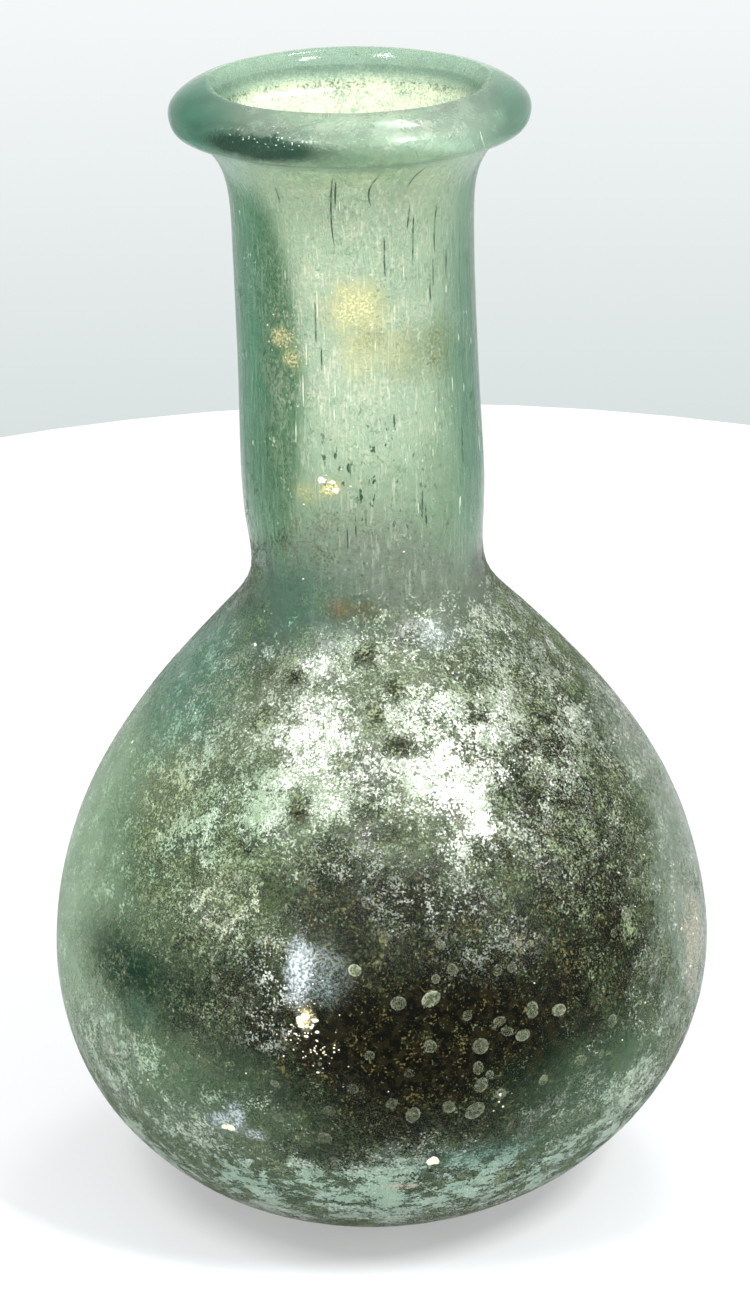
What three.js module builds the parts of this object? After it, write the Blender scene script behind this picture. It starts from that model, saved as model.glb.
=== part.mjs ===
import * as THREE from "three";

// A blown glass flask in one piece, in millimetres, +Z up, standing on z = 0.

// Heights, from the underside of the base
const height = 100;
const bellyHeight = 22.8;
const waistHeight = 56.9;
const collarHeight = 63.8;
const neckTopHeight = 91;
const rimUndersideHeight = 95.8;
const rimWidestHeight = 98;
const lipHeight = 98.2;

// Outer radii
const baseRadius = 10;
const bellyRadius = 28.8;
const waistRadius = 9.4;
const collarRadius = 10.4;
const neckRadius = 10.05;
const neckTopRadius = 10.1;
const rimFootRadius = 12.8;
const rimRadius = 15;
const rimCrestRadius = 11.5;
const lipRadius = 10.6;

// Lengths of the tangents that give the belly and shoulder their fullness
const baseTangent = 3.8;
const bellyLowerTangent = 15.6;
const bellyUpperTangent = 15.2;
const shoulderTangent = 12.8;
const flareTangent = 2.7;
const flareFootTangent = 0.3;
const throatTangent = 3;
const funnelDrop = 1.8;
const shoulderSlope = THREE.MathUtils.degToRad(45);

// Glass thickness
const floorThickness = 3;
const bellyThickness = 1.8;
const neckThickness = 1.9;

// How far the axis wanders sideways, as it does in free-blown glass
const bellySway = 0.75;
const rimSway = -0.48;

// Fineness of the curved surfaces
const turns = 64;
const bellySteps = 9;
const shoulderSteps = 8;
const neckSteps = 6;
const flareSteps = 2;
const rollSteps = 4;
const lipSteps = 2;
const throatSteps = 3;

// Fullness of each quarter of the rolled rim: 0 is a chamfer, 0.55 a quarter circle, 1 a corner
const undersideFullness = 0.9;
const topFullness = 0.27;
const lipFullness = 0.55;

function at(radius, z) {
  return new THREE.Vector2(radius, z);
}

function bezier(from, fromHandle, toHandle, to) {
  return new THREE.CubicBezierCurve(from, fromHandle, toHandle, to);
}

// One quarter of the rolled rim, from one extreme of the roll to the next. The corner is
// where the tangents of the two extremes cross.
function rollQuarter(from, corner, to, fullness) {
  return bezier(from, from.clone().lerp(corner, fullness), to.clone().lerp(corner, fullness), to);
}

// The outer face of the wall, from the edge of the flat base up to the underside of the rim
function outerWallCurves() {
  const base = at(baseRadius, 0);
  const belly = at(bellyRadius, bellyHeight);
  const waist = at(waistRadius, waistHeight);
  const shoulderReach = at(Math.cos(shoulderSlope), -Math.sin(shoulderSlope)).multiplyScalar(shoulderTangent);
  const lowerBelly = bezier(
    base,
    at(baseRadius + baseTangent, 0),
    at(bellyRadius, bellyHeight - bellyLowerTangent),
    belly,
  );
  const shoulder = bezier(
    belly,
    at(bellyRadius, bellyHeight + bellyUpperTangent),
    waist.clone().add(shoulderReach),
    waist,
  );
  const neck = new THREE.SplineCurve([
    waist,
    at(collarRadius, collarHeight),
    at(neckRadius, (collarHeight + neckTopHeight) / 2),
    at(neckTopRadius, neckTopHeight),
  ]);
  const flare = bezier(
    at(neckTopRadius, neckTopHeight),
    at(neckTopRadius, neckTopHeight + flareTangent),
    at(rimFootRadius - flareFootTangent, rimUndersideHeight),
    at(rimFootRadius, rimUndersideHeight),
  );
  return [
    [lowerBelly, bellySteps],
    [shoulder, shoulderSteps],
    [neck, neckSteps],
    [flare, flareSteps],
  ];
}

// The rolled rim, from its underside out, over the crest and in to the lip
function rimCurves() {
  const underside = at(rimFootRadius, rimUndersideHeight);
  const widest = at(rimRadius, rimWidestHeight);
  const crest = at(rimCrestRadius, height);
  const lip = at(lipRadius, lipHeight);
  return [
    [rollQuarter(underside, at(rimRadius, rimUndersideHeight), widest, undersideFullness), rollSteps],
    [rollQuarter(widest, at(rimRadius, height), crest, topFullness), rollSteps],
    [rollQuarter(crest, at(lipRadius, height), lip, lipFullness), lipSteps],
  ];
}

function pointsAlong(curves) {
  const points = [];
  for (const [curve, steps] of curves) {
    const added = curve.getSpacedPoints(steps);
    points.push(...(points.length ? added.slice(1) : added));
  }
  return points;
}

// Glass is thickest in the floor, thinnest round the belly and a little thicker in the neck.
function thicknessAt(z) {
  const lower = THREE.MathUtils.smoothstep(z, 0, bellyHeight);
  const upper = THREE.MathUtils.smoothstep(z, bellyHeight, waistHeight);
  const bellyToFloor = THREE.MathUtils.lerp(floorThickness, bellyThickness, lower);
  return THREE.MathUtils.lerp(bellyToFloor, neckThickness, upper);
}

// The inner face follows the outer one at the depth of the glass.
function innerWall(outer) {
  return outer.map((point, i) => {
    const before = outer[Math.max(i - 1, 0)];
    const after = outer[Math.min(i + 1, outer.length - 1)];
    const along = after.clone().sub(before).normalize();
    const inward = i === 0 ? at(0, 1) : at(-along.y, along.x);
    return point.clone().addScaledVector(inward, thicknessAt(point.y));
  });
}

// The funnel of the mouth, from the lip down to the bore of the neck
function throat(boreTop) {
  const lip = at(lipRadius, lipHeight);
  return bezier(
    lip,
    at(lipRadius - funnelDrop / 2, lipHeight - funnelDrop),
    at(boreTop.x, boreTop.y + throatTangent),
    boreTop,
  );
}

function flaskProfile() {
  const curves = outerWallCurves();
  const outer = pointsAlong(curves);
  const rim = pointsAlong(rimCurves());
  const bored = pointsAlong(curves.slice(0, 3));
  const inner = innerWall(bored);
  const boreTop = inner[inner.length - 1];
  return [
    at(0, 0),
    ...outer,
    ...rim.slice(1),
    ...throat(boreTop).getSpacedPoints(throatSteps).slice(1),
    ...inner.reverse().slice(1),
    at(0, floorThickness),
  ];
}

// Sideways offset of the axis at a height
function swayAt(z) {
  const intoBelly = THREE.MathUtils.smoothstep(z, 0, bellyHeight);
  const outOfBelly = 1 - THREE.MathUtils.smoothstep(z, 0.79 * waistHeight, 1.19 * waistHeight);
  const upNeck = THREE.MathUtils.smoothstep(z, 0.5 * height, height);
  return bellySway * intoBelly * outOfBelly + rimSway * upNeck;
}

function sway(geometry) {
  const position = geometry.getAttribute("position");
  for (let i = 0; i < position.count; i++) {
    position.setX(i, position.getX(i) + swayAt(position.getZ(i)));
  }
  geometry.computeVertexNormals();
  return geometry;
}

const seaGreenGlass = new THREE.MeshStandardMaterial({
  color: 0x86a68c,
  roughness: 0.4,
  metalness: 0,
});

const turned = new THREE.LatheGeometry(flaskProfile(), turns);
turned.rotateX(Math.PI / 2);

const flask = new THREE.Mesh(sway(turned), seaGreenGlass);
flask.name = "flask";

const part = new THREE.Group();
part.add(flask);

export default part;
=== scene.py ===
import math
import random

import bpy
from mathutils import Matrix, Vector, noise


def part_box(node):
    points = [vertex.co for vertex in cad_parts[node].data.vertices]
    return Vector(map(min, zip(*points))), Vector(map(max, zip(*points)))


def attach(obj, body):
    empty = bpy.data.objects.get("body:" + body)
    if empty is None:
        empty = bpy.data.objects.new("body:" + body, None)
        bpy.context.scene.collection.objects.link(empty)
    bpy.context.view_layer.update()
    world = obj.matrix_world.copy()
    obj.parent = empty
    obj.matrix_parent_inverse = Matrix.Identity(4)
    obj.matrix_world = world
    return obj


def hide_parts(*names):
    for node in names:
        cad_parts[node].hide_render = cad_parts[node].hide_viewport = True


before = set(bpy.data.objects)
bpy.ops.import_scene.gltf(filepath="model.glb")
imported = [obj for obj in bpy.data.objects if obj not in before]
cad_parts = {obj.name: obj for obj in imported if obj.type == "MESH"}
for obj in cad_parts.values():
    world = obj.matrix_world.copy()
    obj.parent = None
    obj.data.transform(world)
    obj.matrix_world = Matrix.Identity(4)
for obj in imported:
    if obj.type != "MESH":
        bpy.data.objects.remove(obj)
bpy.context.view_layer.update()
low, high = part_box("flask")
tall = high.z - low.z
scene = bpy.context.scene


def colour(code):
    parts = [int(code[i:i + 2], 16) / 255 for i in (0, 2, 4)]
    return tuple(c / 12.92 if c <= 0.04045 else ((c + 0.055) / 1.055) ** 2.4 for c in parts) + (1.0,)


def only(obj):
    bpy.ops.object.select_all(action="DESELECT")
    obj.select_set(True)
    bpy.context.view_layer.objects.active = obj
    return obj


def applied(obj, kind, **values):
    only(obj)
    modifier = obj.modifiers.new(kind.lower(), kind)
    for key, value in values.items():
        setattr(modifier, key, value)
    bpy.ops.object.modifier_apply(modifier=modifier.name)
    return obj


def heldStill(obj):
    only(obj)
    bpy.ops.object.transform_apply(location=True, rotation=True, scale=True)
    return obj


def put(tree, kind, values=None, **settings):
    made = tree.nodes.new(kind)
    for key, value in settings.items():
        setattr(made, key, value)
    for socket, value in (values or {}).items():
        if isinstance(value, bpy.types.NodeSocket):
            tree.links.new(value, made.inputs[socket])
        else:
            made.inputs[socket].default_value = value
    return made


def maths(tree, operation, *values):
    return put(tree, "ShaderNodeMath", dict(enumerate(values)), operation=operation).outputs[0]


def times(tree, first, second):
    return maths(tree, "MULTIPLY", first, second)


def plus(tree, first, second):
    return maths(tree, "ADD", first, second)


def minus(tree, first, second):
    return maths(tree, "SUBTRACT", first, second)


def mixed(tree, mask, first, second):
    node = put(tree, "ShaderNodeMix", {0: mask, 6: first, 7: second}, data_type="RGBA")
    return node.outputs[2]


def mapped(tree, value, fromLow, fromHigh, toLow=0.0, toHigh=1.0, kind="SMOOTHSTEP"):
    node = put(tree, "ShaderNodeMapRange", {0: value, 1: fromLow, 2: fromHigh, 3: toLow, 4: toHigh},
               interpolation_type=kind)
    return node.outputs[0]


view = {
    "distance": 0.355,
    "height": 0.1843,
    "tiltDown": 20.76,
    "turn": 0.11,
    "roll": 1.18,
    "focal": 122.0,
}


def placeCamera(v):
    bpy.ops.object.camera_add(location=(0, -v["distance"], v["height"]))
    camera = bpy.context.object
    camera.name = "viewCamera"
    aim = (Matrix.Rotation(math.radians(-v["turn"]), 3, "Z")
           @ Matrix.Rotation(math.radians(90 - v["tiltDown"]), 3, "X")
           @ Matrix.Rotation(math.radians(-v["roll"]), 3, "Z"))
    camera.rotation_euler = aim.to_euler()
    camera.data.lens = v["focal"]
    camera.data.sensor_width = 36
    camera.data.clip_start = 0.01
    scene.camera = camera


lights = {
    "keyRight": {"toward": (0.46, -0.46, 0.76), "reach": 0.8, "size": (0.105, 0.21), "power": 6.6},
    "keyLeft": {"toward": (-0.36, -0.45, 0.82), "reach": 0.8, "size": (0.17, 0.26), "power": 4.3},
    "window": {"toward": (-0.47, -0.86, 0.10), "reach": 0.9, "size": (0.08, 0.12), "power": 0.9},
    "overhead": {"toward": (0.22, 0.30, 0.93), "reach": 0.8, "size": (0.20, 0.12), "power": 1.6},
}


def placeLights(table):
    middle = Vector((0, 0, tall * 0.45))
    for name, v in table.items():
        toward = Vector(v["toward"]).normalized()
        bpy.ops.object.light_add(type="AREA", location=middle + toward * v["reach"])
        lamp = bpy.context.object
        lamp.name = name
        lamp.rotation_euler = toward.to_track_quat("Z", "Y").to_euler()
        lamp.data.shape = "RECTANGLE"
        lamp.data.size, lamp.data.size_y = v["size"]
        lamp.data.energy = v["power"]


sky = {
    "above": "ffffff",
    "behind": "fdffff",
    "low": "d3dcdc",
    "ramp": (-0.4, 0.2),
    "lowAt": 0.12,
    "behindAt": 0.36,
    "backShade": 0.38,
    "shadeUp": (0.0, 0.35),
    "shadeBack": (-0.3, 0.6),
}


def makeSky(v):
    world = bpy.data.worlds.new("studio")
    scene.world = world
    world.use_nodes = True
    tree = world.node_tree
    tree.nodes.clear()
    where = put(tree, "ShaderNodeTexCoord")
    split = put(tree, "ShaderNodeSeparateXYZ", {0: where.outputs["Generated"]})
    ramp = put(tree, "ShaderNodeValToRGB", {0: mapped(tree, split.outputs["Z"], *v["ramp"], kind="LINEAR")})
    stops = ramp.color_ramp.elements
    stops[0].position, stops[0].color = v["lowAt"], colour(v["low"])
    stops[1].position, stops[1].color = 1.0, colour(v["above"])
    back = stops.new(v["behindAt"])
    back.color = colour(v["behind"])
    # the ceiling is dimmer towards the back, so that shadows fall behind
    above = mapped(tree, split.outputs["Z"], *v["shadeUp"])
    upBack = times(tree, above, mapped(tree, split.outputs["Y"], *v["shadeBack"]))
    strength = minus(tree, 1.0, times(tree, upBack, v["backShade"]))
    shade = put(tree, "ShaderNodeBackground", {0: ramp.outputs[0], 1: strength})
    put(tree, "ShaderNodeOutputWorld", {0: shade.outputs[0]})


placeCamera(view)
placeLights(lights)
makeSky(sky)
scene.view_settings.view_transform = "Standard"
print("camera and lights placed")


stand = {
    "halfWidth": 0.274,
    "halfDepth": 0.70,
    "farEdge": 0.229,
    "thick": 0.012,
    "gap": 0.00002,
    "sides": 160,
    "edge": 0.002,
    "colour": "adafb1",
    "glow": 0.36,
    "roughness": 0.7,
}


def makeStand(v):
    middle = (0, v["farEdge"] - v["halfDepth"], -v["thick"] / 2 - v["gap"])
    bpy.ops.mesh.primitive_cylinder_add(vertices=v["sides"], radius=1, depth=v["thick"], location=middle)
    top = bpy.context.object
    top.name = "standTop"
    top.scale = (v["halfWidth"], v["halfDepth"], 1)
    heldStill(top)
    applied(top, "BEVEL", width=v["edge"], segments=3, limit_method="ANGLE")
    material = bpy.data.materials.new("matteWhite")
    material.use_nodes = True
    shader = material.node_tree.nodes["Principled BSDF"]
    shader.inputs["Base Color"].default_value = colour(v["colour"])
    shader.inputs["Roughness"].default_value = v["roughness"]
    shader.inputs["Emission Color"].default_value = (1, 1, 1, 1)
    shader.inputs["Emission Strength"].default_value = v["glow"]
    top.data.materials.append(material)


makeStand(stand)


wall = {
    "mergeWithin": 0.000004,
    "squareWithin": 60,
    "smoothing": 2,
    "rippleSize": 0.012,
    "rippleDepth": 0.00022,
    "flatBelow": 0.0009,
    "fadeOver": 0.006,
}


def makeWall(v):
    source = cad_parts["flask"]
    flask = bpy.data.objects.new("flaskGlass", source.data.copy())
    scene.collection.objects.link(flask)
    flask.data.materials.clear()
    only(flask)
    bpy.ops.object.mode_set(mode="EDIT")
    bpy.ops.mesh.select_all(action="SELECT")
    bpy.ops.mesh.remove_doubles(threshold=v["mergeWithin"])
    bpy.ops.mesh.customdata_custom_splitnormals_clear()
    square = math.radians(v["squareWithin"])
    bpy.ops.mesh.tris_convert_to_quads(face_threshold=square, shape_threshold=square)
    bpy.ops.object.mode_set(mode="OBJECT")
    applied(flask, "SUBSURF", levels=v["smoothing"], render_levels=v["smoothing"])
    group = flask.vertex_groups.new(name="ripple")
    for vertex in flask.data.vertices:
        height = vertex.co.z
        weight = min(1.0, max(0.0, (height - v["flatBelow"]) / v["fadeOver"]))
        group.add([vertex.index], weight, "REPLACE")
    unevenness = bpy.data.textures.new("unevenness", "CLOUDS")
    unevenness.noise_scale = v["rippleSize"]
    unevenness.noise_depth = 1
    applied(flask, "DISPLACE", texture=unevenness, texture_coords="LOCAL", strength=v["rippleDepth"],
            mid_level=0.5, vertex_group="ripple")
    flask.vertex_groups.clear()
    bpy.ops.object.shade_smooth()
    return flask


flask = makeWall(wall)
print("glass wall:", len(flask.data.polygons), "faces")


def facesOutward(face):
    # judged from the middle of the belly, or from the axis higher up
    p, n = face.center, face.normal
    if p.z < 0.5 * tall:
        return n.dot(p - Vector((0, 0, 0.3 * tall))) > 0
    return n.x * p.x + n.y * p.y > 0


def skinFrom(obj, name, outside, lift, fromHeight, toHeight):
    skin = bpy.data.objects.new(name, obj.data.copy())
    scene.collection.objects.link(skin)
    skin.data.materials.clear()
    for face in skin.data.polygons:
        inSpan = fromHeight <= face.center.z / tall <= toHeight
        face.select = not (facesOutward(face) == outside and inSpan)
    only(skin)
    bpy.context.tool_settings.mesh_select_mode = (False, False, True)
    bpy.ops.object.mode_set(mode="EDIT")
    bpy.ops.mesh.delete(type="FACE")
    bpy.ops.mesh.select_all(action="SELECT")
    bpy.ops.transform.shrink_fatten(value=lift)
    bpy.ops.object.mode_set(mode="OBJECT")
    bpy.ops.object.shade_smooth()
    return skin


def onGlass(azimuth, height, share=True):
    # where a level ray from outside meets the glass; height is a share of the whole, or in mm
    angle = math.radians(azimuth)
    out = Vector((math.sin(angle), -math.cos(angle), 0))
    z = height * tall if share else height / 1000
    _, place, normal, _ = flask.ray_cast(out * 0.1 + Vector((0, 0, z)), -out)
    return place, normal


def newGroup(name, ins, outs):
    tree = bpy.data.node_groups.new(name, "ShaderNodeTree")
    for label, kind, value in ins:
        socket = tree.interface.new_socket(label, in_out="INPUT", socket_type="NodeSocket" + kind)
        socket.default_value = value
    for label, kind in outs:
        tree.interface.new_socket(label, in_out="OUTPUT", socket_type="NodeSocket" + kind)
    return tree, put(tree, "NodeGroupInput").outputs, put(tree, "NodeGroupOutput").inputs


def placeIn(tree, ins):
    # the spot on the piece, moved by Seed and drawn out by Stretch
    where = put(tree, "ShaderNodeTexCoord").outputs["Object"]
    drawn = put(tree, "ShaderNodeVectorMath", {0: where, 1: ins["Stretch"]}, operation="MULTIPLY").outputs[0]
    shift = put(tree, "ShaderNodeCombineXYZ", {0: times(tree, ins["Seed"], 0.01)}).outputs[0]
    return put(tree, "ShaderNodeVectorMath", {0: drawn, 1: shift}, operation="ADD").outputs[0]


def noiseAt(tree, where, scale, detail, roughness=0.6):
    return put(tree, "ShaderNodeTexNoise",
               {"Vector": where, "Scale": scale, "Detail": detail, "Roughness": roughness}).outputs


def makeSpeckleGroup():
    # one size of spots, from Low (none) to High (full)
    tree, ins, outs = newGroup(
        "speckle",
        [("Scale", "Float", 400.0), ("Low", "Float", 0.45), ("High", "Float", 0.6), ("Seed", "Float", 0.0),
         ("Detail", "Float", 2.0), ("Stretch", "Vector", (1, 1, 1))],
        [("Mask", "Float")])
    cloud = noiseAt(tree, placeIn(tree, ins), ins["Scale"], ins["Detail"])[0]
    tree.links.new(mapped(tree, cloud, ins["Low"], ins["High"]), outs["Mask"])
    return tree


def makeMottleGroup():
    # crust in three sizes of grain; Level is the share of the surface it covers
    tree, ins, outs = newGroup(
        "mottle",
        [("Level", "Float", 0.5), ("Soft", "Float", 0.03), ("Fine", "Float", 2200.0),
         ("Middle", "Float", 600.0), ("Broad", "Float", 150.0), ("Seed", "Float", 0.0),
         ("Stretch", "Vector", (1, 1, 1))],
        [("Mask", "Float")])
    place = placeIn(tree, ins)
    total = times(tree, noiseAt(tree, place, ins["Fine"], 1.0, 0.7)[0], 0.46)
    for size, detail, share in (("Middle", 2.0, 0.29), ("Broad", 1.0, 0.25)):
        total = plus(tree, total, times(tree, noiseAt(tree, place, ins[size], detail)[0], share))
    # levels from 0 to 1 move the edge by 0.15 either way
    edge = plus(tree, 0.5, times(tree, minus(tree, 0.5, ins["Level"]), 0.3))
    start = minus(tree, edge, ins["Soft"])
    end = plus(tree, edge, ins["Soft"])
    tree.links.new(mapped(tree, total, start, end), outs["Mask"])
    return tree


def makeWanderGroup():
    # a slow and a quick drift, which make the edges of patches ragged
    tree, ins, outs = newGroup("wander", [], [("Broad", "Vector"), ("Fine", "Vector")])
    where = put(tree, "ShaderNodeTexCoord").outputs["Object"]
    for label, scale, detail in (("Broad", 130.0, 4.0), ("Fine", 620.0, 3.0)):
        cloud = noiseAt(tree, where, scale, detail, 0.68)[1]
        centred = put(tree, "ShaderNodeVectorMath", {0: cloud, 1: (0.5, 0.5, 0.5)}, operation="SUBTRACT")
        tree.links.new(centred.outputs[0], outs[label])
    return tree


def driftedPlace(tree, way, amount):
    where = put(tree, "ShaderNodeTexCoord").outputs["Object"]
    push = put(tree, "ShaderNodeVectorMath", {0: way, "Scale": amount}, operation="SCALE").outputs[0]
    return put(tree, "ShaderNodeVectorMath", {0: where, 1: push}, operation="ADD").outputs[0]


def makePatchGroup():
    # a ragged round area about Centre, as far each way as Reach
    tree, ins, outs = newGroup(
        "patch",
        [("Drift", "Vector", (0, 0, 0)), ("Centre", "Vector", (0, 0, 0)),
         ("Reach", "Vector", (0.01, 0.01, 0.01)), ("Ragged", "Float", 0.003), ("Feather", "Float", 0.4)],
        [("Mask", "Float")])
    moved = driftedPlace(tree, ins["Drift"], ins["Ragged"])
    away = put(tree, "ShaderNodeVectorMath", {0: moved, 1: ins["Centre"]}, operation="SUBTRACT")
    inReach = put(tree, "ShaderNodeVectorMath", {0: away.outputs[0], 1: ins["Reach"]}, operation="DIVIDE")
    far = put(tree, "ShaderNodeVectorMath", {0: inReach.outputs[0]}, operation="LENGTH").outputs["Value"]
    inner = minus(tree, 1.0, ins["Feather"])
    outer = plus(tree, 1.0, ins["Feather"])
    tree.links.new(mapped(tree, far, outer, inner), outs["Mask"])
    return tree


def makeHeightGroup():
    tree, ins, outs = newGroup(
        "heightBand",
        [("Drift", "Vector", (0, 0, 0)), ("From", "Float", 0.0), ("To", "Float", 0.1),
         ("Waver", "Float", 0.0)],
        [("Mask", "Float")])
    split = put(tree, "ShaderNodeSeparateXYZ", {0: driftedPlace(tree, ins["Drift"], ins["Waver"])})
    tree.links.new(mapped(tree, split.outputs["Z"], ins["From"], ins["To"]), outs["Mask"])
    return tree


effects = {"speckle": makeSpeckleGroup(), "mottle": makeMottleGroup(), "wander": makeWanderGroup(),
           "patch": makePatchGroup(), "height": makeHeightGroup()}


def effectNode(tree, kind, **values):
    node = put(tree, "ShaderNodeGroup", node_tree=effects[kind])
    for label, value in values.items():
        if isinstance(value, bpy.types.NodeSocket):
            tree.links.new(value, node.inputs[label])
        else:
            node.inputs[label].default_value = value
    return node


def effect(tree, kind, **values):
    return effectNode(tree, kind, **values).outputs[0]


def speckle(tree, scale, lowEdge, highEdge, seed=0.0, detail=2.0, stretch=(1, 1, 1)):
    return effect(tree, "speckle", Scale=scale, Low=lowEdge, High=highEdge, Seed=seed, Detail=detail,
                  Stretch=stretch)


def mottle(tree, level, soft, sizes, seed, stretch=(1, 1, 1)):
    fine, middle, broad = sizes
    return effect(tree, "mottle", Level=level, Soft=soft, Fine=fine, Middle=middle, Broad=broad, Seed=seed,
                  Stretch=stretch)


def drift(tree, label):
    # one wander per finish, shared by all its patches
    node = tree.nodes.get("edgeWander")
    if node is None:
        node = effectNode(tree, "wander")
        node.name = "edgeWander"
    return node.outputs[label]


def patch(tree, azimuth, height, reach, ragged=0.5, feather=0.5, small=False):
    place, _ = onGlass(azimuth, height)
    return effect(tree, "patch", Drift=drift(tree, "Fine" if small else "Broad"), Centre=place,
                  Reach=[r / 1000 for r in reach], Ragged=ragged * min(reach) / 1000, Feather=feather)


def band(tree, fromHeight, toHeight, waver=0.0):
    return effect(tree, "height", Drift=drift(tree, "Broad"), From=fromHeight * tall, To=toHeight * tall,
                  Waver=waver / 1000)


def anyOf(tree, masks):
    total = masks[0]
    for mask in masks[1:]:
        total = maths(tree, "MAXIMUM", total, mask)
    return total


def maskAt(tree, masks, name):
    # a finish's own mask, or an area of the flask, each made once
    if name not in masks:
        masks[name] = area(tree, name)
    return masks[name]


def shared(tree, masks, name, share):
    mask = maskAt(tree, masks, name)
    return mask if share == 1 else times(tree, mask, share)


def levelled(tree, masks, table):
    # the first value, moved to each mask's own value in turn
    level, *changes = table
    for name, value in changes:
        level = put(tree, "ShaderNodeMix", {0: maskAt(tree, masks, name), 2: level, 3: value}).outputs[0]
    return level


def coloured(tree, masks, v, table):
    # the first colour, with each next one laid over it by its mask and share
    first, *changes = table
    tone = colour(v[first])
    for code, name, share in changes:
        tone = mixed(tree, shared(tree, masks, name, share), tone, colour(v[code]))
    return tone


def masksFrom(tree, v):
    # the masks that a finish's dictionary lists
    masks = {}
    for name, values in v.get("heights", {}).items():
        masks[name] = band(tree, *values)
    for name, values in v.get("speckles", {}).items():
        masks[name] = speckle(tree, *values)
    for name, (table, *values) in v.get("mottles", {}).items():
        masks[name] = mottle(tree, levelled(tree, masks, table), *values)
    return masks


def blank(name):
    material = bpy.data.materials.new(name)
    material.use_nodes = True
    tree = material.node_tree
    return material, tree, tree.nodes["Principled BSDF"]


def feed(tree, shader, socket, value):
    tree.links.new(value, shader.inputs[socket])


def relief(tree, height, depth, strength, under=None):
    node = put(tree, "ShaderNodeBump", {"Height": height, "Distance": depth, "Strength": strength})
    if under is not None:
        tree.links.new(under, node.inputs["Normal"])
    return node.outputs[0]


# where the finishes change: azimuth from the front in degrees, height share, reach in mm, raggedness,
# softness, and True where the edge is finely ragged
areas = {
    "heart": (9, 0.25, (17, 15, 10), 0.9, 0.75),
    "heartTop": (3, 0.36, (9, 9, 5), 1.3, 0.8),
    "heartBack": (170, 0.24, (15, 14, 8), 1.0, 0.8),
    "shoulderBack": (-172, 0.46, (11, 9, 6), 1.4, 0.8),
    "behind": (180, 0.36, (30, 17, 34), 0.3, 0.5),
    "heartRight": (42, 0.33, (6, 9, 9), 1.2, 0.8),
    "upperRight": (46, 0.45, (9, 9, 9), 0.9, 0.8),
    "shoulder": (4, 0.465, (12, 10, 6.6), 1.4, 0.8),
    "shoulderWide": (12, 0.47, (21, 12, 9), 1.0, 0.8),
    # where the lamps' highlights fall on the shoulder; white crust is laid thicker there as a painted
    # highlight
    "paintedHighlightRight": (19, 0.455, (3.6, 4, 6.0), 1.2, 0.9),
    "paintedHighlightLeft": (-17, 0.475, (3.4, 4, 3.2), 1.4, 0.9),
    "leftFlank": (-75, 0.35, (13, 15, 20), 0.8, 0.7),
    "leftShoulder": (-78, 0.50, (5.5, 8, 6.5), 0.8, 0.8),
    "leftMiddle": (-40, 0.39, (8.5, 8.5, 7), 0.9, 0.8),
    "rightFlank": (86, 0.33, (9, 15, 20), 0.5, 0.6),
    "leftDark": (-48, 0.285, (5.5, 7, 3.2), 1.2, 0.9),
    "lowLeft": (-38, 0.19, (10, 9, 5), 1.0, 0.8),
    "neckBand": (-60, 0.76, (5.4, 5.6, 17), 0.14, 0.14),
    "neckPale": (0, 0.835, (9, 8, 20), 0.6, 0.7),
    "neckLeftEdge": (-92, 0.77, (3.4, 7, 18), 0.3, 0.5),
    "neckRightEdge": (90, 0.77, (3.4, 7, 18), 0.3, 0.5),
    "pinchDark": (-12, 0.60, (6, 5, 4.5), 1.0, 0.8),
    "pinchGreen": (-42, 0.575, (5.5, 5, 3.6), 0.8, 0.8),
    "pinchRight": (46, 0.585, (5, 5, 3.5), 0.8, 0.8),
    "lowRight": (44, 0.18, (9, 8, 5), 1.0, 0.8),
    "low": (5, 0.10, (30, 30, 3.8), 1.4, 0.8),
    "neckFoot": (2, 0.61, (9, 8, 4), 1.2, 0.8),
    "rimLeft": (-75, 0.975, (7, 9, 4), 0.5, 0.6),
    "rimRight": (76, 0.975, (4, 8, 4), 0.5, 0.8),
    "neckPits": (5, 0.69, (7, 6, 6), 0.6, 0.6),
    # rimUnderShade and rimOlive: the dark band along the underside of the rim's front, painted shade
    "rimUnderShade": (-33, 0.9755, (9.5, 5, 1.35), 0.9, 0.5, True),
    "rimOlive": (12, 0.965, (9, 5, 0.9), 1.2, 0.7, True),
    "rimSparks": (-27, 0.984, (4.4, 4, 0.6), 1.2, 0.6, True),
}

# areas taken together, each with its share
together = {
    "belly": [("heart", 1), ("heartTop", 0.7), ("heartBack", 0.8)],
    "shoulders": [("shoulder", 1), ("shoulderBack", 0.6)],
    # shine: the painted highlights on the shoulder, where the white crust is thickest
    "shine": [("paintedHighlightRight", 1), ("paintedHighlightLeft", 0.5)],
    "leafy": [("leftFlank", 1), ("leftMiddle", 0.6)],
    "lows": [("lowLeft", 1), ("lowRight", 1)],
    "neckEdges": [("neckLeftEdge", 1), ("neckRightEdge", 1)],
    "calm": [("leftFlank", 1), ("rightFlank", 1), ("leftShoulder", 1), ("behind", 0.7)],
}


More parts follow.
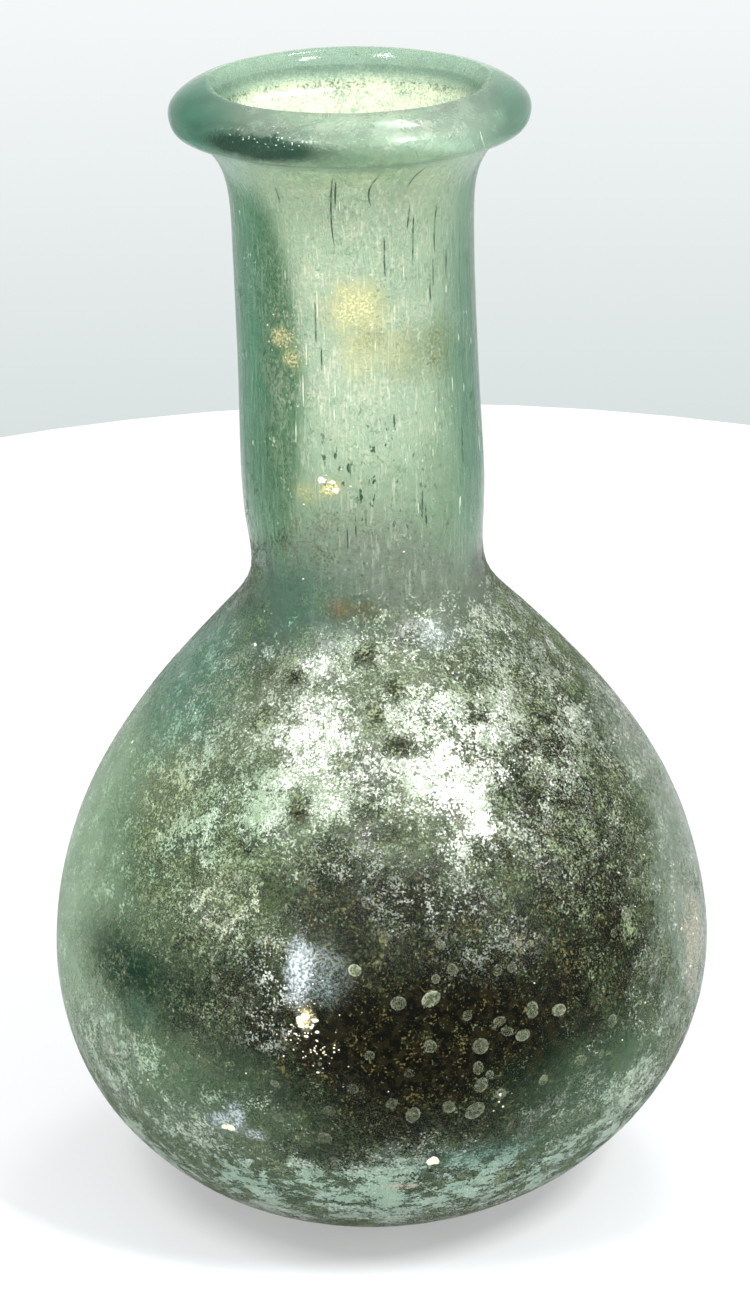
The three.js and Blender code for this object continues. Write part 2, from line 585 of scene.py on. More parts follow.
# small marks by colour: azimuth, height share, reach in mm, strength
marks = {
    "stain": [
        (-1, 0.539, (1.0, 1.0, 0.9), 1), (9, 0.515, (0.8, 1.0, 1.0), 1), (2, 0.50, (0.7, 0.9, 1.8), 1),
        (0, 0.455, (2.2, 1.6, 2.6), 0.5), (36, 0.44, (2.0, 2.0, 2.0), 0.5),
        (50, 0.47, (1.6, 2.0, 2.0), 0.6), (7, 0.478, (1.7, 1.2, 0.9), 1), (-4, 0.47, (1.6, 1.2, 1.2), 0.6),
        (-16, 0.434, (0.8, 1.0, 1.3), 1), (-8, 0.40, (2.6, 1.6, 1.8), 0.7),
        (24, 0.40, (2.2, 1.4, 1.4), 0.6), (32, 0.49, (1.2, 1.3, 1.8), 0.7),
        (-33, 0.49, (0.8, 1.0, 0.9), 0.8), (44, 0.405, (1.4, 1.8, 3.4), 0.8),
        (0, 0.44, (1.6, 1.4, 2.4), 0.6), (4, 0.418, (2.6, 1.6, 1.0), 0.6),
        (-26, 0.52, (0.7, 0.8, 0.7), 0.8), (-27, 0.405, (1.2, 1.3, 1.0), 0.6),
        (20, 0.55, (1.2, 1.0, 1.0), 0.7), (28, 0.097, (0.9, 0.7, 0.4), 1), (-28, 0.31, (5, 4, 4), 0.5),
        (-36, 0.275, (4, 4, 3), 0.5),
    ],
    "cream": [
        (-2, 0.833, (2.2, 2, 2.0), 0.75), (-1, 0.795, (1.6, 2, 2.0), 0.4),
        (-39, 0.803, (1.0, 1.4, 0.9), 0.7), (-34, 0.785, (0.8, 1.4, 0.9), 0.6),
        (-11.5, 0.278, (0.6, 0.9, 0.9), 0.8), (-30, 0.36, (4, 4, 3), 0.1),
        (-27, 0.672, (1.2, 1.4, 0.9), 0.4), (-15.5, 0.678, (0.8, 0.9, 0.7), 0.9),
        (14, 0.795, (1.6, 1.6, 1.6), 0.3), (-52, 0.42, (3.4, 3, 3.4), 0.14),
    ],
    "blue": [
        (29, 0.546, (2.3, 1.6, 1.1), 0.34), (-28, 0.170, (1.2, 1.6, 0.9), 0.7),
        (-25, 0.176, (0.8, 1.2, 1.5), 0.7), (-22, 0.162, (1.0, 1.2, 0.7), 0.6),
        # the two marks at -13 and -10 are a painted reflection of the window lamp, bluish white; the other
        # blue marks are bluish weathering
        (-13, 0.318, (1.1, 1.2, 2.8), 0.95), (-10, 0.318, (2.6, 2.4, 2.6), 0.3),
    ],
    "teal": [
        (-8.5, 0.306, (1.3, 1.3, 1.5), 0.4), (-45, 0.25, (2.2, 2.4, 1.6), 0.35),
        (20, 0.14, (6, 5, 1.5), 0.35),
    ],
    "tan": [
        (72, 0.265, (2.4, 2.6, 3.6), 0.6), (68, 0.225, (1.4, 1.6, 1.6), 0.5),
        (5, 0.11, (1.5, 1.2, 0.5), 0.4),
    ],
    "frost": [
        (-16, 0.315, (2.6, 3, 3.4), 1), (-19, 0.27, (2.4, 3, 2.6), 0.8), (12, 0.37, (6, 4, 2.4), 0.6),
        (30, 0.41, (4, 4, 2.6), 0.6), (-5, 0.40, (5, 4, 2.2), 0.5), (20, 0.33, (5, 4, 2.0), 0.45),
        (-30, 0.36, (4, 4, 3), 0.5), (10, 0.14, (9, 6, 1.6), 0.6), (-35, 0.15, (6, 5, 2), 0.6),
        (-60, 0.50, (6, 7, 6), 0.55), (-30, 0.53, (5, 5, 4), 0.5), (-58, 0.2, (7, 6, 4), 0.75),
        (40, 0.17, (7, 6, 3), 0.55), (46, 0.42, (8, 8, 8), 0.35), (-64, 0.27, (6, 6, 6), 0.4),
    ],
    "brown": [
        (4, 0.805, (1.4, 1.4, 1.2), 0.45), (24, 0.79, (2.4, 2, 2.4), 0.3), (42, 0.79, (1.8, 2.4, 2.6), 0.4),
        (-12, 0.572, (1.0, 1.0, 0.8), 0.55), (-2, 0.57, (1.4, 1.2, 0.8), 0.3),
    ],
}


markEdge = {"ragged": 1.6, "feather": 0.75, "small": True}


def area(tree, name):
    if name in marks:
        return anyOf(tree, [times(tree, patch(tree, *spot, **markEdge), share)
                            for *spot, share in marks[name]])
    if name in together:
        return anyOf(tree, [shared(tree, {}, part, share) for part, share in together[name]])
    return patch(tree, *areas[name])


# light and dark drifts a few mm wide, calmer at the back and on the flanks, and flattened strokes at the foot
unevenCover = {
    "drifts": (190, 0.36, 0.64, 36, 4),
    "amount": (0.7, ("calm", 0.2)),
    "strokes": (1000, 0.36, 0.64, 37, 4, (0.6, 0.6, 1.1)),
}


def cloudy(tree, masks, v):
    drifts = minus(tree, speckle(tree, *v["drifts"]), 0.5)
    return times(tree, drifts, levelled(tree, masks, v["amount"]))


def strokesLow(tree, masks, v):
    strokes = minus(tree, speckle(tree, *v["strokes"]), 0.5)
    return times(tree, strokes, maskAt(tree, masks, "low"))


glass = {
    "clear": "e6f3dc",
    "green": "c2e0c0",
    "band": "569e68",
    "waist": "86b48c",
    "deep": "3f9c74",
    "flank": "b0d69c",
    "rim": "d2ecd6",
    "heights": {"neck": (0.56, 0.6), "rim": (0.945, 0.965)},
    "speckles": {"drifts": (90, 0.38, 0.62, 1, 2), "grain": (900, 0.4, 0.65, 3)},
    "cordNoise": (420, 0.42, 0.66, 2, 2, (1, 1, 0.04)),
    "waistFrom": (0.50, 0.57),
    "waistTo": (0.72, 0.60, 4),
    "smoothAbove": (0.92, 0.95),
    "tones": ("clear", ("green", "drifts", 1), ("green", "cords", 0.3), ("waist", "waist", 0.8),
              ("band", "neckBand", 1), ("deep", "neckEdges", 0.95), ("band", "pinchGreen", 1),
              ("rim", "rim", 1), ("deep", "rimLeft", 1), ("deep", "rimRight", 0.6), ("flank", "leftFlank", 1),
              ("deep", "leftShoulder", 0.7)),
    "bodyRough": 0.28,
    "grainRough": 0.12,
    "roughAt": (("neck", 0.22), ("rim", 0.1)),
    "drawnLines": (900, 0.3, 0.7, 5, 2, (1, 1, 0.03)),
    "drawnDepth": (0.00006, 0.5),
    "pitting": (1800, 0.35, 0.7, 6),
    "pittingDepth": (0.00002, 0.4),
    "bends": 1.5,
    "inDepth": (0.24, 0.62, 0.45, 1.0),
    "density": 60.0,
}


def glassFinish(v):
    material, tree, shader = blank("seaGreenGlass")
    masks = masksFrom(tree, v)
    offRim = minus(tree, 1.0, band(tree, *v["smoothAbove"]))
    masks["waist"] = times(tree, band(tree, *v["waistFrom"]), band(tree, *v["waistTo"]))
    masks["cords"] = times(tree, speckle(tree, *v["cordNoise"]), offRim)
    feed(tree, shader, "Base Color", coloured(tree, masks, v, v["tones"]))
    rough = plus(tree, v["bodyRough"], times(tree, masks["grain"], v["grainRough"]))
    feed(tree, shader, "Roughness", levelled(tree, masks, (rough, *v["roughAt"])))
    bumps = relief(tree, times(tree, speckle(tree, *v["drawnLines"]), offRim), *v["drawnDepth"])
    bumps = relief(tree, speckle(tree, *v["pitting"]), *v["pittingDepth"], bumps)
    feed(tree, shader, "Normal", bumps)
    shader.inputs["IOR"].default_value = v["bends"]
    shader.inputs["Transmission Weight"].default_value = 1.0
    inside = put(tree, "ShaderNodeVolumeAbsorption", {0: v["inDepth"], 1: v["density"]})
    tree.links.new(inside.outputs[0], tree.nodes["Material Output"].inputs["Volume"])
    return material


flask.data.materials.append(glassFinish(glass))
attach(flask, "root")
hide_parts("flask")
print("glass finished")


def worn(piece, finish):
    piece.data.materials.append(finish)
    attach(piece, "root")
    print(piece.name, len(piece.data.polygons), "faces")


# dark olive soil burnt into the surface of the body
earth = {
    "lift": 0.00002,
    "span": (0.01, 0.93),
    "black": "050502",
    "brown": "171509",
    "olive": "38472c",
    "grain": "58512f",
    "pale": "7f8c6b",
    "moss": "2e4a34",
    "green": "0b271c",
    "heights": {"neck": (0.55, 0.63, 6)},
    "speckles": {"browns": (1300, 0.44, 0.62, 31), "flecks": (2600, 0.25, 0.6, 39)},
    "mottles": {
        "olives": ((0.72, ("lowLeft", 0.9), ("belly", -0.1), ("heartRight", 0.12), ("upperRight", 0.18),
                    ("stain", 0.2)), 0.12, (4200.0, 1400.0, 300.0), 32),
        "grains": ((0.12, ("belly", 0.15)), 0.04, (4400.0, 2000.0, 500.0), 38),
        "pales": ((0.25, ("leftMiddle", 0.34), ("belly", -0.1)), 0.08, (5200.0, 1700.0, 420.0), 33),
    },
    "tones": ("black", ("brown", "browns", 1), ("olive", "olives", 1), ("grain", "grains", 1),
              ("pale", "pales", 1), ("moss", "lows", 0.5), ("green", "darkFlecks", 1)),
    "cover": (0.68, ("leftFlank", 0.22), ("leftShoulder", 0.24), ("rightFlank", 0.16), ("shoulder", 0.5),
              ("upperRight", 0.95), ("heartRight", 1.1), ("leftMiddle", 0.6), ("leftDark", 1.2),
              ("belly", 1.4), ("stain", 1.0), ("low", 0.45), ("neck", -0.2), ("neckFoot", 0.36),
              ("pinchDark", 0.34), ("pinchGreen", 0.12), ("pinchRight", 0.08)),
    "strokes": 0.9,
    "edges": (0.085, (3800.0, 1100.0, 260.0), 34),
    "roughness": 0.6,
    "shine": 0.04,
}


def earthFinish(v):
    material, tree, shader = blank("oliveEarth")
    masks = masksFrom(tree, v)
    masks["darkFlecks"] = times(tree, maskAt(tree, masks, "leftDark"), masks["flecks"])
    feed(tree, shader, "Base Color", coloured(tree, masks, v, v["tones"]))
    level = plus(tree, levelled(tree, masks, v["cover"]), cloudy(tree, masks, unevenCover))
    level = plus(tree, level, times(tree, strokesLow(tree, masks, unevenCover), v["strokes"]))
    feed(tree, shader, "Alpha", mottle(tree, level, *v["edges"]))
    shader.inputs["Roughness"].default_value = v["roughness"]
    shader.inputs["Specular IOR Level"].default_value = v["shine"]
    return material


earthSkin = skinFrom(flask, "earthSkin", True, earth["lift"], *earth["span"])
worn(earthSkin, earthFinish(earth))


# silvery scale over it, thick on the shoulder, with white crust painted where the lamps' highlights fall
scale = {
    "lift": 0.00005,
    "span": (0.004, 1.0),
    "grey": "717e68",
    "silver": "96a18e",
    "white": "e4e6dd",
    "frost": "d3d8cf",
    "leaf": "9cc69a",
    "soot": "4d6a4c",
    "teaGreen": "4f9478",
    "neck": "b5c3ae",
    "milk": "b4cdb6",
    "rimGreen": "57a284",
    "dust": "dcdcc4",
    "mint": "94b8a2",
    "cream": "e2d7a0",
    # blue: bluish weathering, and the painted reflection of the window lamp on the lower left of the belly
    "blue": "c9d6d8",
    "teal": "3f7a68",
    "tan": "b9ae98",
    "brown": "7a6c42",
    "deepGreen": "06180f",
    # bottle and olive: the colours of the painted shade under the rim's front
    "bottle": "08321f",
    "olive": "5d7a58",
    "heights": {"neck": (0.54, 0.61, 6), "rim": (0.94, 0.96)},
    "speckles": {
        "grain": (4600, 0.36, 0.66, 40),
        "drifts": (260, 0.36, 0.62, 41, 4),
        "hairs": (4200, 0.5, 0.72, 46, 2, (1, 1, 0.1)),
        "rimClouds": (500, 0.4, 0.65, 47, 3),
        "sparks": (3600, 0.63, 0.69, 53),
        "pits": (1800, 0.61, 0.67, 54, 3, (1, 1, 0.6)),
    },
    "mottles": {
        # brights: white crust, real on the shoulders and belly, and a painted highlight under the lamps
        # (shine)
        "brights": ((0.2, ("shoulders", 0.26), ("shine", 0.56), ("belly", 0.1)),
                    0.08, (4600.0, 1500.0, 420.0), 42),
        "frosting": ((0.34,), 0.05, (5200.0, 2200.0, 700.0), 49),
        "dusting": ((0.42,), 0.09, (4600.0, 2200.0, 500.0), 52, (1, 1, 0.7)),
        "sooting": ((0.2,), 0.05, (4200.0, 2000.0, 500.0), 57, (1, 1, 0.6)),
    },
    "within": {"sparks": "rimSparks", "pits": "neckPits", "hairs": "bareNeck", "frosting": "frost",
               "dusting": "dustyNeck", "sooting": "sootyNeck"},
    "sootAt": (0.5, ("neckFoot", 1.0)),
    "faint": {"faintStain": ("stain", 0.85), "faintOlive": ("rimOlive", 0.8)},
    "spots": ("brown", "teal", "tan", "blue", "cream"),
    "spotLeast": 0.3,
    "spotGrain": 0.8,
    "spotFull": 2.5,
    "tones": ("grey", ("silver", "drifts", 1), ("white", "brights", 1), ("mint", "low", 0.6),
              ("leaf", "leafy", 0.7), ("leaf", "lows", 0.35), ("teaGreen", "leftShoulder", 0.8),
              ("frost", "frosting", 1), ("neck", "neck", 1), ("teaGreen", "pinchGreen", 0.7),
              ("milk", "rim", 1), ("rimGreen", "rimLeft", 1), ("rimGreen", "rimRight", 0.7),
              ("dust", "dusting", 1), ("soot", "sooting", 1), ("olive", "rimOlive", 0.6),
              ("brown", "brownFull", 1), ("teal", "tealFull", 1), ("tan", "tanFull", 1),
              ("blue", "blueFull", 1), ("cream", "creamFull", 1), ("bottle", "rimUnderShade", 1),
              ("deepGreen", "pits", 1), ("white", "sparks", 1)),
    # the crust is thickest under the lamps' highlights (shine): a painted highlight
    "crust": (0.36, ("leftFlank", 0.32), ("leftShoulder", 0.3), ("rightFlank", 0.3), ("upperRight", 0.14),
              ("leftMiddle", 0.26), ("lows", 0.42), ("shoulderWide", 0.5), ("shoulders", 0.62),
              ("shine", 0.72), ("heartRight", 0.1), ("leftDark", -0.2), ("belly", -0.3),
              ("faintStain", -0.1), ("low", 0.52), ("neck", -0.1), ("rim", -1.0), ("pinchGreen", -0.1)),
    "crustEdges": (0.065, (4400.0, 1600.0, 500.0), 45),
    "drifting": 0.6,
    "strokes": 0.6,
    "veil": (0.1, ("shoulderWide", 0.18), ("shoulders", 0.2), ("leftFlank", 0.46), ("rightFlank", 0.2),
             ("lows", 0.19), ("leftShoulder", 0.36), ("heartRight", 0.02), ("upperRight", 0.02),
             ("leftMiddle", 0.04), ("stain", 0.02), ("leftDark", 0.0), ("belly", 0.0), ("neck", 0.14),
             ("pinchRight", 0.24), ("pinchGreen", 0.24), ("neckPale", 0.4), ("neckBand", 0.06),
             ("neckEdges", 0.04), ("rim", 0.34), ("rimLeft", 0.3), ("rimRight", 0.3), ("faintOlive", 0.5)),
    "hairVeil": 0.2,
    "rimVeil": 0.1,
    "cover": [("crust", 0.88), ("veil", 1), ("frosting", 0.85), ("dusting", 0.45), ("sooting", 0.5),
              ("brown", 1), ("teal", 1), ("tan", 1), ("blue", 1), ("cream", 1), ("rimUnderShade", 0.96),
              ("pits", 0.7), ("sparks", 1)],
    "roughness": 0.34,
    "metallic": 0.42,
    "grainDepth": (0.00005, 0.8),
}


def scaleFinish(v):
    material, tree, shader = blank("silverScale")
    masks = masksFrom(tree, v)
    masks["bareNeck"] = times(tree, masks["neck"], minus(tree, 1.0, masks["rim"]))
    masks["dustyNeck"] = times(tree, maskAt(tree, masks, "neckPale"), masks["neck"])
    masks["sootyNeck"] = times(tree, masks["bareNeck"], levelled(tree, masks, v["sootAt"]))
    for name, place in v["within"].items():
        masks[name] = times(tree, masks[name], maskAt(tree, masks, place))
    ragged = plus(tree, v["spotLeast"], times(tree, masks["grain"], v["spotGrain"]))
    for name in v["spots"]:
        masks[name] = times(tree, area(tree, name), ragged)
        masks[name + "Full"] = maths(tree, "MINIMUM", times(tree, masks[name], v["spotFull"]), 1.0)
    for name, (place, share) in v["faint"].items():
        masks[name] = shared(tree, masks, place, share)
    feed(tree, shader, "Base Color", coloured(tree, masks, v, v["tones"]))
    level = levelled(tree, masks, v["crust"])
    level = minus(tree, level, times(tree, cloudy(tree, masks, unevenCover), v["drifting"]))
    level = minus(tree, level, times(tree, strokesLow(tree, masks, unevenCover), v["strokes"]))
    masks["crust"] = mottle(tree, level, *v["crustEdges"])
    veil = plus(tree, levelled(tree, masks, v["veil"]), times(tree, masks["hairs"], v["hairVeil"]))
    onRim = times(tree, times(tree, masks["rim"], v["rimVeil"]), masks["rimClouds"])
    masks["veil"] = plus(tree, veil, onRim)
    feed(tree, shader, "Alpha", anyOf(tree, [shared(tree, masks, *layer) for layer in v["cover"]]))
    shader.inputs["Roughness"].default_value = v["roughness"]
    shader.inputs["Metallic"].default_value = v["metallic"]
    feed(tree, shader, "Normal", relief(tree, masks["grain"], *v["grainDepth"]))
    return material


scaleSkin = skinFrom(flask, "scaleSkin", True, scale["lift"], *scale["span"])
worn(scaleSkin, scaleFinish(scale))


# film and soil on the inner wall
film = {
    "lift": 0.00003,
    "span": (0.03, 1.0),
    "earth": "1d190c",
    "olive": "4f5232",
    "pale": "ccd5b6",
    "greenish": "bfd0b0",
    "lip": "748a76",
    "heights": {"mouth": (0.87, 0.93, 3), "neck": (0.5, 0.6, 4), "lip": (0.968, 0.985)},
    "speckles": {"olives": (260, 0.42, 0.62, 21, 4)},
    "tones": ("earth", ("olive", "olives", 1), ("greenish", "neck", 1), ("pale", "mouth", 1),
              ("lip", "lip", 1)),
    "mottles": {
        "cover": ((0.4, ("leftFlank", 0.1), ("rightFlank", 0.08), ("heartRight", 0.9), ("heart", 1.4),
                   ("neck", 0.15), ("mouth", 0.72), ("lip", 0.52)), 0.16, (4600.0, 1500.0, 300.0), 22),
    },
    "most": 0.9,
    "roughness": 0.8,
}


def filmFinish(v):
    material, tree, shader = blank("insideFilm")
    masks = masksFrom(tree, v)
    feed(tree, shader, "Base Color", coloured(tree, masks, v, v["tones"]))
    feed(tree, shader, "Alpha", times(tree, masks["cover"], v["most"]))
    shader.inputs["Roughness"].default_value = v["roughness"]
    return material


insideFilm = skinFrom(flask, "insideFilm", False, film["lift"], *film["span"])
worn(insideFilm, filmFinish(film))


def wrapped(piece, azimuth, height, lift=0.0):
    # lays a flat piece (x across, y up, z out, in metres) on the glass about that place
    middle, normal = onGlass(azimuth, height, False)
    radius = Vector((middle.x, middle.y)).length
    for vertex in piece.data.vertices:
        across, up, out = vertex.co
        # a length along the glass is less in height where it slopes
        rise = up * 1000 * max(0.3, math.hypot(normal.x, normal.y))
        place, _ = onGlass(azimuth + math.degrees(across / radius), height + rise, False)
        vertex.co = place + normal * (out + lift)
    return piece


def copyOf(piece):
    other = piece.copy()
    other.data = piece.data.copy()
    scene.collection.objects.link(other)
    return other


def joined(pieces, name):
    bpy.ops.object.select_all(action="DESELECT")
    for piece in pieces:
        piece.select_set(True)
    bpy.context.view_layer.objects.active = pieces[0]
    if len(pieces) > 1:
        bpy.ops.object.join()
    pieces[0].name = name
    pieces[0].data.name = name
    bpy.ops.object.shade_smooth()
    return only(pieces[0])


# thin slivers laid on the glass, for the streaks and scratches
slivers = {
    "segments": 6,
    "rings": 8,
    "flatness": 3,
    "halfLength": 0.0005,
    "lift": 0.00006,
    "strayHeights": (62, 90),
    "strayLengths": (0.4, 1.6),
    "speckles": {"hazy": (1500, 0.45, 0.62, 51, 3), "faded": (900, 0.5, 0.65, 52, 3)},
    "tones": ("ink", ("haze", "hazy", 1)),
    "fadedTo": 0.3,
    "roughness": 0.35,
}

# long dark bubbles drawn out along the neck: azimuth, height mm, length mm, lean, bow
streaks = {
    "name": "neckStreaks",
    "width": 0.075,
    "ink": "173622",
    "haze": "5d8464",
    "strength": 0.85,
    "places": [
        (-12, 91.5, 6.5, 0.1, 0.25), (-9.5, 93, 3, 0.25, 0.1), (-36, 92.6, 1.6, -0.1, 0),
        (12, 87.5, 3.6, 0, 0.05), (24, 90.6, 2.2, 0.2, 0), (26.5, 88.6, 4.4, 0.05, 0),
        (39, 89.2, 4.4, 0.1, 0.1), (38, 85.5, 2.4, 0, 0),
        (36, 83.8, 2.0, 0, 0), (5, 93.4, 3.4, 0.5, 0.8), (24, 94.2, 2.2, 1.1, 0.4), (-21, 82, 3.6, 0, 0),
        (-18.5, 79, 2.2, 0, 0), (-50, 70.8, 3.0, 0, 0), (28, 66.0, 2.4, 0.1, 0), (30, 64.8, 2.4, -0.1, 0),
        (15, 73.5, 1.2, 0, 0), (-6, 69.5, 1.4, 0, 0), (-4, 64.5, 2.0, 0, 0), (-8, 63.4, 2.0, 0, 0),
        (47, 86.0, 2.4, 0.05, 0), (55, 70.0, 3.2, 0, 0), (110, 84.0, 4.0, 0.1, 0.2),
        (150, 88.0, 3.6, 0, 0.1), (-100, 80.0, 3.4, 0, 0), (-150, 90.0, 4.2, 0.1, 0.2),
        (180, 74.0, 2.6, 0, 0), (-125, 68.0, 2.4, 0, 0)],
    "more": 0,
    "seed": 3,
}

# pale scratches, and the short crack at the rim
scratches = {
    "name": "paleScratches",
    "width": 0.045,
    "ink": "dfe6cf",
    "haze": "b9c9a4",
    "strength": 0.8,
    "places": [
        (43.5, 97.3, 1.5, -1.1, 0.6), (40.5, 96.7, 0.9, -1.6, 0.5), (-20, 83.5, 2.4, 0, 0),
        (-17, 80.5, 1.8, 0.1, 0), (-28, 76, 2.8, 0, 0), (-26, 79.2, 2.0, 0, 0), (-32, 72.4, 1.8, 0, 0),
        (-8, 92, 1.2, 0.1, 0)],
    "more": 60,
    "seed": 11,
}


def makeSlivers(v, common):
    half = common["halfLength"]
    bpy.ops.object.select_all(action="DESELECT")
    bpy.ops.mesh.primitive_uv_sphere_add(segments=common["segments"], ring_count=common["rings"], radius=1,
                                         rotation=(math.pi / 2, 0, 0))
    sliver = bpy.context.object
    sliver.scale = (v["width"] / 1000, v["width"] / (1000 * common["flatness"]), half)
    heldStill(sliver)
    rng = random.Random(v["seed"])
    places = list(v["places"])
    for _ in range(v["more"]):
        places.append((rng.uniform(-180, 180), rng.uniform(*common["strayHeights"]),
                       rng.uniform(*common["strayLengths"]), 0, 0))
    made = []
    for azimuth, height, length, lean, bow in places:
        one = copyOf(sliver)
        for vertex in one.data.vertices:
            # lean and bow are in fifths of the length
            along = vertex.co.y / half
            vertex.co.y *= length
            vertex.co.x += (lean * along + bow * along * along) * length / 5000
        made.append(wrapped(one, azimuth, height, common["lift"]))
    bpy.data.objects.remove(sliver)
    piece = joined(made, v["name"])
    material, tree, shader = blank(v["name"] + "Ink")
    masks = masksFrom(tree, common)
    feed(tree, shader, "Base Color", coloured(tree, masks, v, common["tones"]))
    feed(tree, shader, "Alpha", levelled(tree, masks, (v["strength"], ("faded", common["fadedTo"]))))
    shader.inputs["Roughness"].default_value = common["roughness"]
    worn(piece, material)


makeSlivers(streaks, slivers)
makeSlivers(scratches, slivers)


# burst and sunken bubbles in the belly: azimuth, height mm, width mm, brightness
seeds = {
    "edge": "b8bea6",
    "heart": "7d8768",
    "places": [
        (-3.3, 31.9, 1.1, 1.0), (9.5, 29.4, 1.5, 0.75), (4, 29.2, 1.3, 0.4), (27, 27.2, 1.35, 0.5),
        (32, 26.6, 1.25, 0.8), (21, 26.8, 1.0, 0.35), (25, 25.2, 1.2, 0.55), (9, 25.4, 1.2, 0.35),
        (17.5, 24.9, 1.45, 0.4), (17, 23.0, 1.1, 0.4), (17.5, 21.4, 1.3, 0.5), (15.5, 27.7, 0.9, 0.3),
        (13.5, 31.6, 1.0, 0.4), (50, 32.2, 1.3, 0.6), (6, 19.2, 1.4, 0.5), (12, 19.7, 1.2, 0.45),
        (16.5, 19.0, 1.7, 0.5), (2.5, 20.4, 1.0, 0.3), (21, 20.2, 1.1, 0.45), (-4, 21.8, 1.0, 0.25),
        (-8, 19.6, 1.1, 0.25), (43, 24.0, 1.2, 0.4), (-9, 16.8, 1.2, 0.3), (36, 21.5, 1.2, 0.4),
        (-1, 24.8, 0.9, 0.3), (19, 22.2, 0.8, 0.4), (10.5, 31.0, 0.8, 0.4), (24, 31, 0.8, 0.3),
        (12, 33.6, 0.7, 0.4), (2, 34.4, 0.9, 0.3)],
    "more": 80,
    "strayHeights": (9, 36, 20),
    "strayWidths": (0.35, 1.1),
    "strayShines": (0.1, 0.6, 0.25),
    "seed": 7,
    "sides": 12,
    "steps": [(0.05, 0.06), (0.06, -0.03)],
    "heartInset": 0.1,
    "ridgeAt": 0.44,
    "ridgeWide": 0.08,
    "stretch": (0.85, 1.2),
    "lift": 0.00006,
    "speckles": {"broken": (1300, 0.4, 0.6, 61), "flecks": (3600, 0.4, 0.64, 62)},
    "tones": ("heart", ("edge", "ridge", 1)),
    "heartShows": 0.3,
    "fleckShows": 0.5,
    "roughness": 0.3,
}


def makeSeeds(v):
    bpy.ops.object.select_all(action="DESELECT")
    bpy.ops.mesh.primitive_circle_add(vertices=v["sides"], radius=0.5, fill_type="NGON")
    ring = bpy.context.object
    bpy.ops.object.mode_set(mode="EDIT")
    for inset, rise in v["steps"]:
        bpy.ops.mesh.inset(thickness=inset)
        bpy.ops.transform.translate(value=(0, 0, rise))
    bpy.ops.mesh.inset(thickness=v["heartInset"])
    bpy.ops.mesh.poke()
    bpy.ops.object.mode_set(mode="OBJECT")
    ridge = ring.data.attributes.new("ridge", "FLOAT", "POINT")
    ring.data.attributes.new("shine", "FLOAT", "POINT")
    for vertex in ring.data.vertices:
        away = math.hypot(vertex.co.x, vertex.co.y)
        # painted highlight: the ridge of each ring is brighter towards one side, a bright arc such as light
        # gives
        side = 0.6 + 0.4 * vertex.co.x / max(away, 0.01)  # brighter on one side
        ridge.data[vertex.index].value = max(0.0, 1 - abs(away - v["ridgeAt"]) / v["ridgeWide"]) * side
    rng = random.Random(v["seed"])
    places = list(v["places"])
    for _ in range(v["more"]):
        places.append((rng.uniform(-180, 180), rng.triangular(*v["strayHeights"]),
                       rng.uniform(*v["strayWidths"]), rng.triangular(*v["strayShines"])))
    made = []
    for azimuth, height, size, bright in places:
        one = copyOf(ring)
        stretch, turn = rng.uniform(*v["stretch"]), rng.uniform(0, 2 * math.pi)
        for entry in one.data.attributes["shine"].data:
            entry.value = bright
        for vertex in one.data.vertices:
            x, y = vertex.co.x * stretch, vertex.co.y / stretch
            vertex.co.x = (x * math.cos(turn) - y * math.sin(turn)) * size / 1000
            vertex.co.y = (x * math.sin(turn) + y * math.cos(turn)) * size / 1000
            vertex.co.z *= size / 1000
        made.append(wrapped(one, azimuth, height, v["lift"]))
    bpy.data.objects.remove(ring)
    piece = joined(made, "seedBubbles")
    material, tree, shader = blank("bubbleSkin")
    masks = masksFrom(tree, v)
    masks["ridge"] = put(tree, "ShaderNodeAttribute", attribute_name="ridge").outputs["Fac"]
    shine = put(tree, "ShaderNodeAttribute", attribute_name="shine").outputs["Fac"]
    broken = times(tree, masks["ridge"], masks["broken"])
    flecked = plus(tree, v["heartShows"], times(tree, masks["flecks"], v["fleckShows"]))
    feed(tree, shader, "Base Color", coloured(tree, masks, v, v["tones"]))
    feed(tree, shader, "Alpha", times(tree, shine, anyOf(tree, [flecked, broken])))
    shader.inputs["Roughness"].default_value = v["roughness"]
    worn(piece, material)


makeSeeds(seeds)


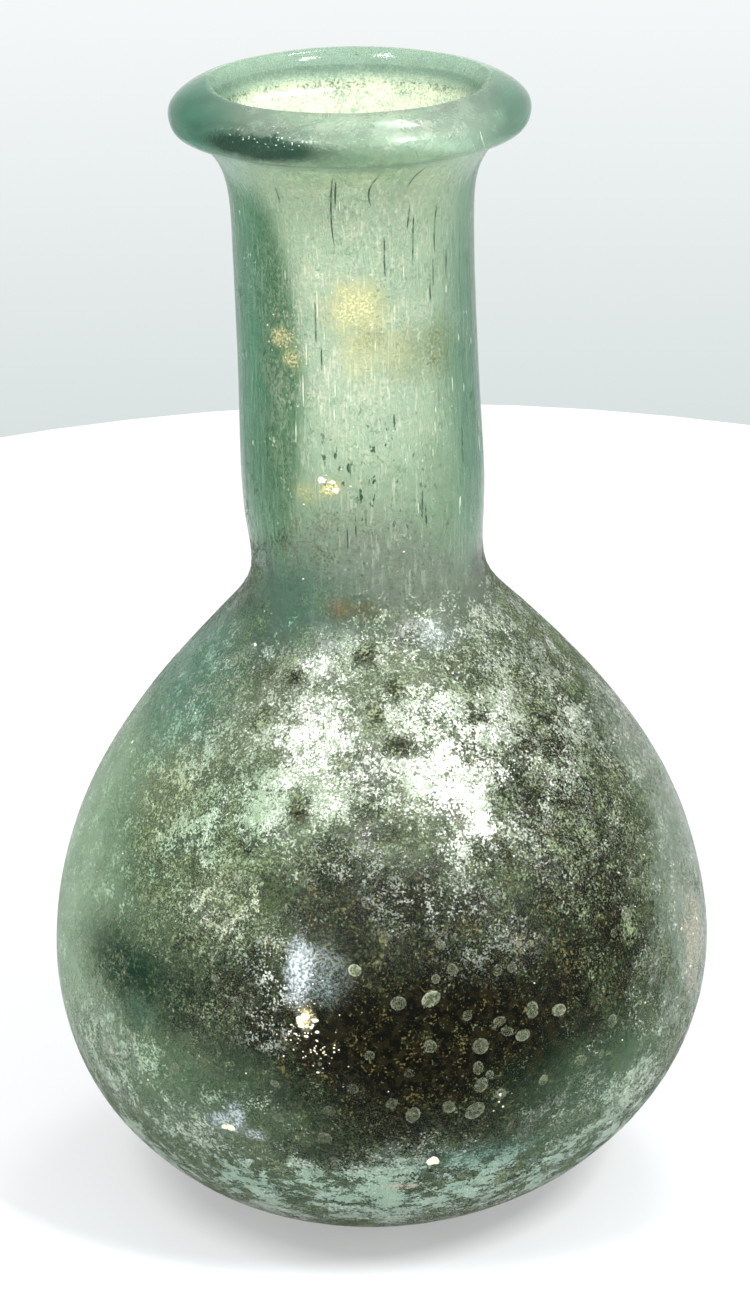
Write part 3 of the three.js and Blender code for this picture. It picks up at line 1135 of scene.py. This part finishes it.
# crumbs of pale soil stuck to the glass: azimuth, height mm, spread mm, how many, size mm
crumbs = {
    "cream": "efe4c0",
    "white": "fbf8ee",
    "ochre": "c8a468",
    "heaps": [
        (-12, 27.7, 0.3, 7, 0.6), (-11.4, 27.2, 0.5, 8, 0.4), (-12.6, 26.4, 1.0, 34, 0.17),
        (-9.4, 24.9, 0.9, 34, 0.18), (-13, 29.4, 0.9, 26, 0.14), (9.8, 14.1, 0.15, 2, 1.1),
        (-26.3, 16.2, 0.3, 2, 0.9), (-15.5, 67.8, 0.35, 4, 0.5), (-49.6, 53.4, 0.1, 1, 0.6),
        (-77, 43.4, 0.1, 1, 0.4), (21.4, 19.1, 0.5, 4, 0.25), (-38, 80.2, 0.9, 12, 0.12),
        (-2, 83.2, 1.4, 16, 0.12),
        (68, 24.5, 2.2, 8, 0.3), (120, 40, 1.5, 6, 0.35), (-140, 30, 2.0, 9, 0.3), (165, 22, 1.2, 5, 0.5)],
    "strays": 170,
    "strayHeights": (6, 90, 34),
    "straySizes": (0.07, 0.2),
    "seed": 19,
    "sizeSpread": (0.6, 1.2),
    "across": (0.7, 1.3),
    "along": (0.6, 1.0),
    "lumpAbove": 0.45,
    "uneven": 0.9,
    "unevenSize": 3.2,
    "flatness": 0.34,
    "lift": 0.00004,
    "speckles": {
        "whites": (800, 0.45, 0.6, 71, 3),
        "ochres": (2300, 0.55, 0.7, 72, 3),
        "rough": (1200, 0.5, 0.7, 73, 3),
        "grain": (4000, 0.3, 0.7, 74, 3),
    },
    "tones": ("cream", ("white", "whites", 1), ("ochre", "ochres", 0.6)),
    "roughness": (0.6, ("rough", 0.85)),
    "grainDepth": (0.00004, 0.7),
}


def makeCrumbs(v):
    rng = random.Random(v["seed"])
    bpy.ops.object.select_all(action="DESELECT")
    bpy.ops.mesh.primitive_ico_sphere_add(subdivisions=1, radius=0.5)
    grit = bpy.context.object
    bpy.ops.mesh.primitive_ico_sphere_add(subdivisions=2, radius=0.5)
    lump = bpy.context.object
    places = []
    for azimuth, height, spread, count, size in v["heaps"]:
        middle, _ = onGlass(azimuth, height, False)
        radius = Vector((middle.x, middle.y)).length * 1000
        for _ in range(count):
            places.append((azimuth + math.degrees(rng.gauss(0, spread) / radius),
                           height + rng.gauss(0, spread), size * rng.uniform(*v["sizeSpread"])))
    for _ in range(v["strays"]):
        places.append((rng.uniform(-180, 180), rng.triangular(*v["strayHeights"]),
                       rng.uniform(*v["straySizes"])))
    made = []
    for azimuth, height, size in places:
        one = copyOf(lump if size > v["lumpAbove"] else grit)
        drawn = Vector((rng.uniform(0, 90), rng.uniform(0, 90), 0))
        across, along = rng.uniform(*v["across"]), rng.uniform(*v["along"])
        for vertex in one.data.vertices:
            rough = 1 + v["uneven"] * noise.noise(vertex.co * v["unevenSize"] + drawn)
            flat = Vector((vertex.co.x * across, vertex.co.y * along, vertex.co.z * v["flatness"]))
            vertex.co = flat * rough * size / 1000
        made.append(wrapped(one, azimuth, height, v["lift"]))
    bpy.data.objects.remove(lump)
    bpy.data.objects.remove(grit)
    piece = joined(made, "soilCrumbs")
    material, tree, shader = blank("paleSoil")
    masks = masksFrom(tree, v)
    feed(tree, shader, "Base Color", coloured(tree, masks, v, v["tones"]))
    feed(tree, shader, "Roughness", levelled(tree, masks, v["roughness"]))
    feed(tree, shader, "Normal", relief(tree, masks["grain"], *v["grainDepth"]))
    worn(piece, material)


makeCrumbs(crumbs)
